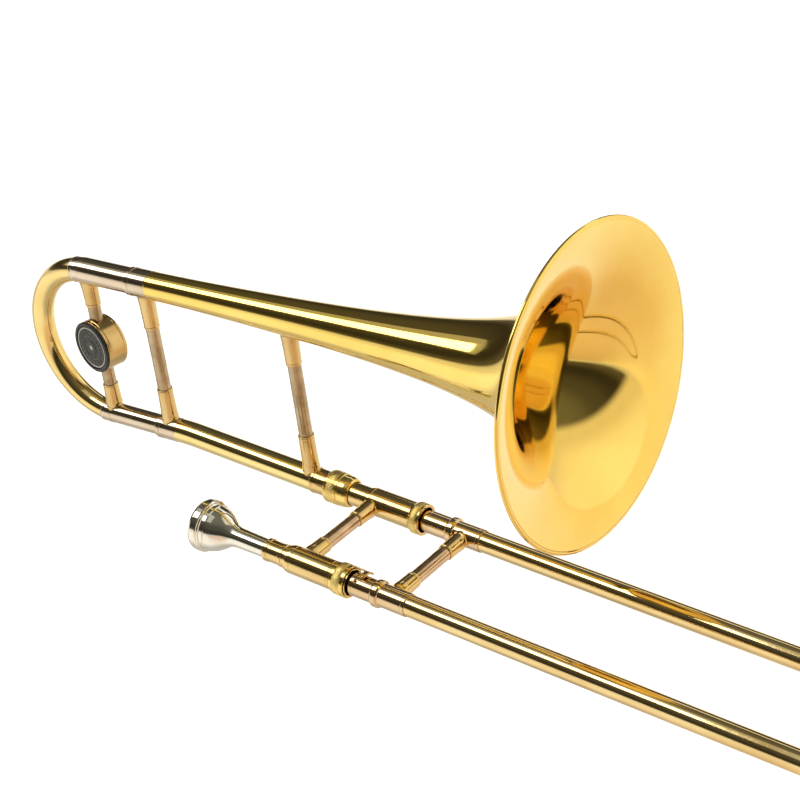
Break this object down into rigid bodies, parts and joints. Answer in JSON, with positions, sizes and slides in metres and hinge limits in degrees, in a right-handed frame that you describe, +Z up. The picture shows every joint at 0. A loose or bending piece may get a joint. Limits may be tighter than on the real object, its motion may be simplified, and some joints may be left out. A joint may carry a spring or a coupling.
{
  "type": "tenor trombone",
  "caption": "Tenor slide trombone: flared bell on a tuning slide with a counterweight, telescoping hand slide with lock and water key, and a cup mouthpiece.",
  "frame": {"origin": "middle of the inner slide brace, where the left hand holds the instrument", "axes": "+X along the hand slide away from the player, +Z up in the plane of the bell, -Y towards the mouthpiece side of the hand slide"},
  "size_m": [1.1404, 0.204, 0.2629],
  "materials": {
    "lacquered_brass": "clear-lacquered yellow brass, polished, with fine hairlines",
    "gold_brass_fittings": "lacquered cast and turned brass, polished",
    "nickel_silver": "drawn nickel silver, polished, lacquered",
    "chrome_plated_tube": "hard chrome plate",
    "silver_plate": "silver plate, mirror polished",
    "black_enamel": "gloss black enamel",
    "black_rubber": "matt moulded rubber",
    "cork": "natural pressed cork",
    "steel": "plain steel screw and spring wire"
  },
  "bodies": {
    "inner_slide": {"slide_tenon": "lacquered_brass", "bell_side_cork_barrel": "lacquered_brass", "mouthpiece_side_cork_barrel": "lacquered_brass", "bell_side_cork": "cork", "mouthpiece_side_cork": "cork", "bell_side_inner_tube": "chrome_plated_tube", "mouthpiece_side_inner_tube": "chrome_plated_tube", "mouthpiece_receiver": "gold_brass_fittings", "leadpipe": "lacquered_brass", "inner_brace_tube": "nickel_silver", "inner_brace_bell_side_socket": "gold_brass_fittings", "inner_brace_mouthpiece_side_socket": "gold_brass_fittings"},
    "bell_section": {"bell": "lacquered_brass", "bell_rim_bead": "lacquered_brass", "upper_tuning_sleeve": "nickel_silver", "lower_tuning_sleeve": "nickel_silver", "neckpipe": "lacquered_brass", "slide_receiver": "lacquered_brass", "rear_brace_lower_socket": "gold_brass_fittings", "rear_brace_upper_socket": "gold_brass_fittings", "rear_brace_tube": "nickel_silver", "front_brace_lower_socket": "gold_brass_fittings", "front_brace_upper_socket": "gold_brass_fittings", "front_brace_tube": "nickel_silver"},
    "lock_nut": {"bell_lock_nut": "gold_brass_fittings"},
    "tuning_slide": {"tuning_crook": "lacquered_brass", "upper_crook_ferrule": "nickel_silver", "lower_crook_ferrule": "nickel_silver", "upper_tuning_leg": "nickel_silver", "lower_tuning_leg": "nickel_silver", "weight_brace_lower_socket": "gold_brass_fittings", "weight_brace_upper_socket": "gold_brass_fittings", "weight_brace_tube": "nickel_silver", "counterweight_drum": "lacquered_brass", "counterweight_bezel": "black_enamel", "counterweight_badge": "black_enamel"},
    "slide_lock": {"slide_lock_ring": "lacquered_brass"},
    "mouthpiece": {"mouthpiece": "silver_plate"},
    "outer_slide": {"bell_side_outer_tube": "lacquered_brass", "mouthpiece_side_outer_tube": "lacquered_brass", "bell_side_outer_ferrule": "nickel_silver", "mouthpiece_side_outer_ferrule": "nickel_silver", "outer_brace_tube": "nickel_silver", "outer_brace_bell_side_socket": "gold_brass_fittings", "outer_brace_mouthpiece_side_socket": "gold_brass_fittings", "end_bow": "lacquered_brass", "bell_side_bow_ferrule": "nickel_silver", "mouthpiece_side_bow_ferrule": "nickel_silver", "bumper_cup": "gold_brass_fittings", "bumper_tip": "black_rubber", "water_key_nipple": "lacquered_brass", "water_key_saddle": "gold_brass_fittings", "water_key_screw": "steel", "water_key_spring": "steel"},
    "water_key": {"water_key_lever": "gold_brass_fittings", "water_key_cork": "cork"}
  },
  "joints": [
    {"name": "outer_slide_travel", "type": "slide", "parent": "inner_slide", "child": "outer_slide", "axis": [1, 0, 0], "range_m": [0, 0.6]},
    {"name": "bell_swing", "type": "hinge", "parent": "inner_slide", "child": "bell_section", "pos_m": [-0.03, 0.0403, 0], "axis": [1, 0, 0], "range_deg": [-180, 35]},
    {"name": "lock_nut_turn", "type": "hinge", "parent": "inner_slide", "child": "lock_nut", "pos_m": [-0.03, 0.0403, 0], "axis": [1, 0, 0], "range_deg": [0, 720]},
    {"name": "tuning_slide_pull", "type": "slide", "parent": "bell_section", "child": "tuning_slide", "axis": [-0.9966, 0, -0.0829], "range_m": [0, 0.02]},
    {"name": "slide_lock_turn", "type": "hinge", "parent": "inner_slide", "child": "slide_lock", "pos_m": [0.035, -0.0403, 0], "axis": [1, 0, 0], "range_deg": [0, 22]},
    {"name": "mouthpiece_pull", "type": "slide", "parent": "inner_slide", "child": "mouthpiece", "axis": [-1, 0, 0], "range_m": [0, 0.025]},
    {"name": "water_key_press", "type": "hinge", "parent": "outer_slide", "child": "water_key", "pos_m": [0.7413, 0.0403, -0.0123], "axis": [0, 1, 0], "range_deg": [0, 14], "stiffness_Nm_per_rad": 0.03, "springref_deg": -34.38}
  ]
}
